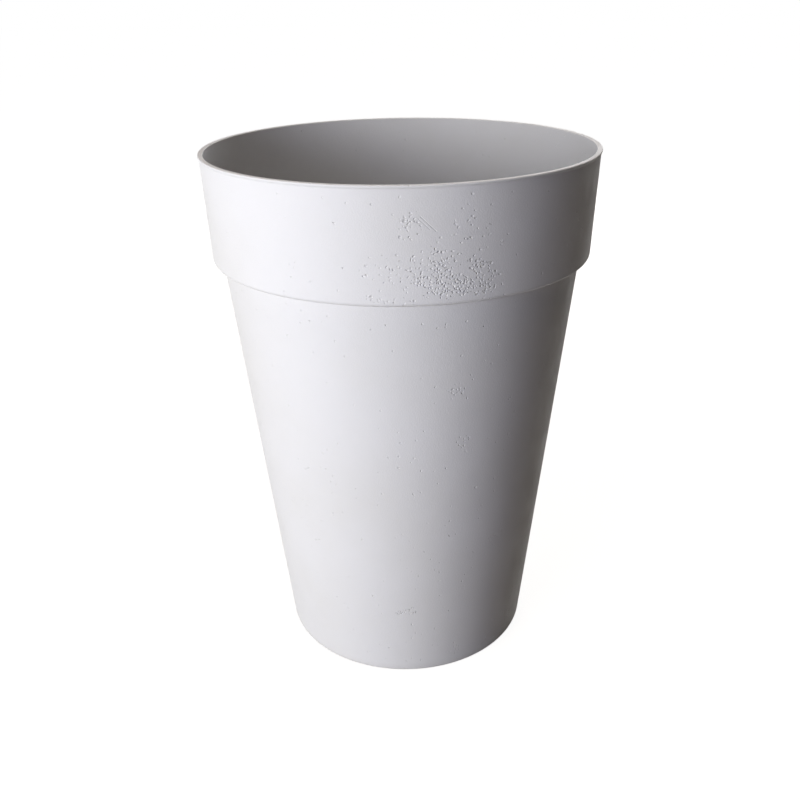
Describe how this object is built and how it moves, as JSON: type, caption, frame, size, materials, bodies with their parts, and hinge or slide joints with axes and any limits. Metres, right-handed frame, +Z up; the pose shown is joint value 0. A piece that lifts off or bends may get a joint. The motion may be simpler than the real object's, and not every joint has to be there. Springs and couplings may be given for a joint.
{
  "type": "tall round planter",
  "caption": "Tall round tapered planter with a plain collar, holding a lift-out insert pot on an inner ledge, with a drainage grid, drain plugs and foot pads.",
  "frame": {"origin": "centre of the foot pads' soles, on the ground under the planter's axis", "axes": "+Z up along the planter's axis, -Y towards the viewer in the picture, +X to its right"},
  "size_m": [0.4824, 0.4824, 0.67],
  "materials": {
    "white_shell": "white gel coat, satin, with a fine orange peel and a few pits",
    "dark_insert": "dark moulded plastic, fine grain",
    "grey_grid": "grey moulded plastic, fine grain",
    "black_rubber": "black rubber, matt"
  },
  "bodies": {
    "shell": {"planter_shell": "white_shell", "foot_pad_1": "black_rubber", "foot_pad_2": "black_rubber", "foot_pad_3": "black_rubber", "foot_pad_4": "black_rubber", "foot_pad_5": "black_rubber", "foot_pad_6": "black_rubber"},
    "insert": {"insert_pot": "dark_insert", "insert_grip_1": "dark_insert", "insert_grip_2": "dark_insert"},
    "grid": {"drainage_grid": "grey_grid"},
    "plug_1": {"drain_plug_1": "black_rubber"},
    "plug_2": {"drain_plug_2": "black_rubber"},
    "plug_3": {"drain_plug_3": "black_rubber"}
  },
  "joints": [
    {"name": "insert_lift", "type": "slide", "parent": "shell", "child": "insert", "axis": [0, 0, 1], "range_m": [0, 0.44]},
    {"name": "grid_lift", "type": "slide", "parent": "insert", "child": "grid", "axis": [0, 0, 1], "range_m": [0, 0.42]},
    {"name": "plug_1_pull", "type": "slide", "parent": "shell", "child": "plug_1", "axis": [0, 0, 1], "range_m": [0, 0.06]},
    {"name": "plug_2_pull", "type": "slide", "parent": "shell", "child": "plug_2", "axis": [0, 0, 1], "range_m": [0, 0.06]},
    {"name": "plug_3_pull", "type": "slide", "parent": "shell", "child": "plug_3", "axis": [0, 0, 1], "range_m": [0, 0.06]}
  ]
}
